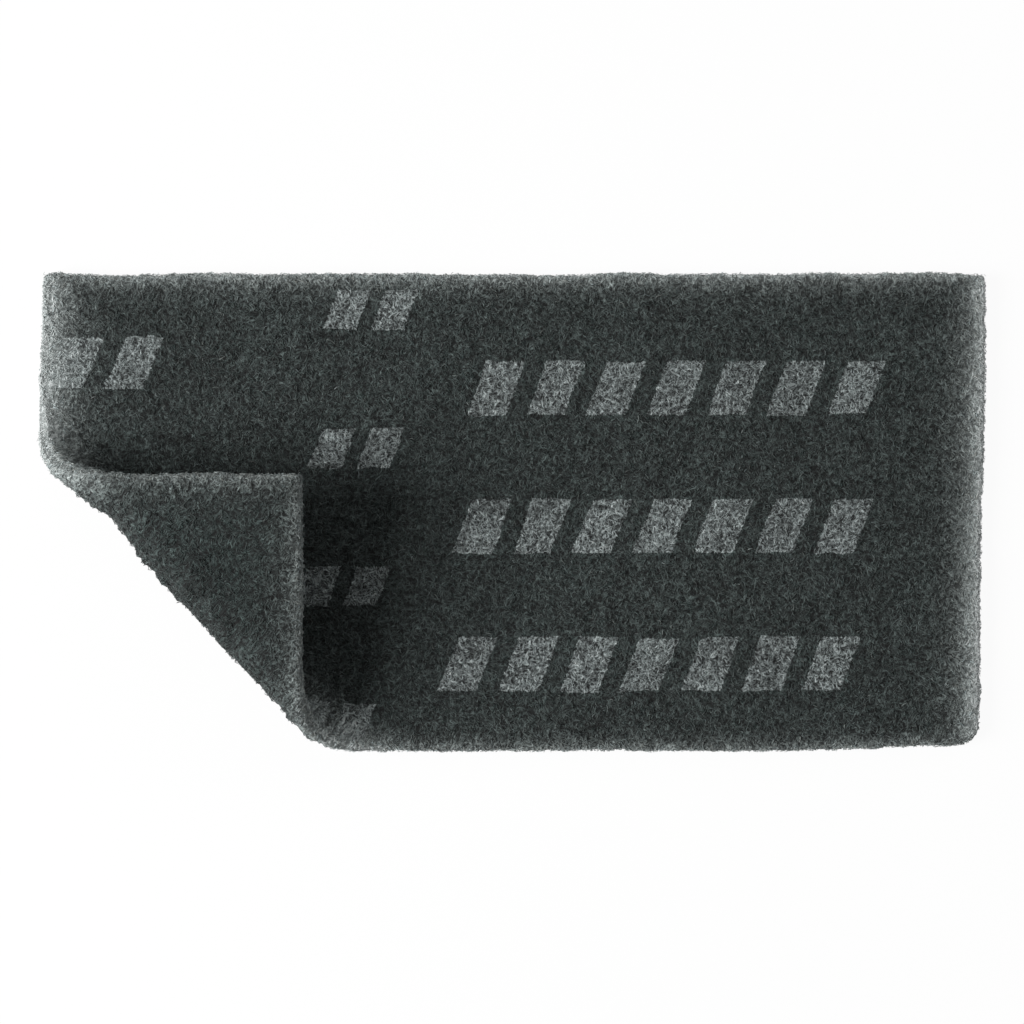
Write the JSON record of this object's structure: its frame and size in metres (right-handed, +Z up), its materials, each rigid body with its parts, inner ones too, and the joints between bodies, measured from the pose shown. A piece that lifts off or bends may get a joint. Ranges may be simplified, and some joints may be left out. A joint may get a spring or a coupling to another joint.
{
  "type": "non-woven abrasive hand pad",
  "caption": "Flat dark grey fibre scouring pad for hand sanding and cleaning, with one corner folded up and over in an open roll.",
  "frame": {"origin": "centre of the bounding box's bottom, on the surface that the pad lies on", "axes": "+X along the pad's length, +Y across it, +Z up out of the face with the folded corner on it"},
  "size_m": [0.2302, 0.1166, 0.0308],
  "materials": {
    "fibre": "matte dark grey non-woven fibre web, lighter at the cut edges"
  },
  "bodies": {
    "root": {"fibre_pad": "fibre"}
  },
  "joints": []
}
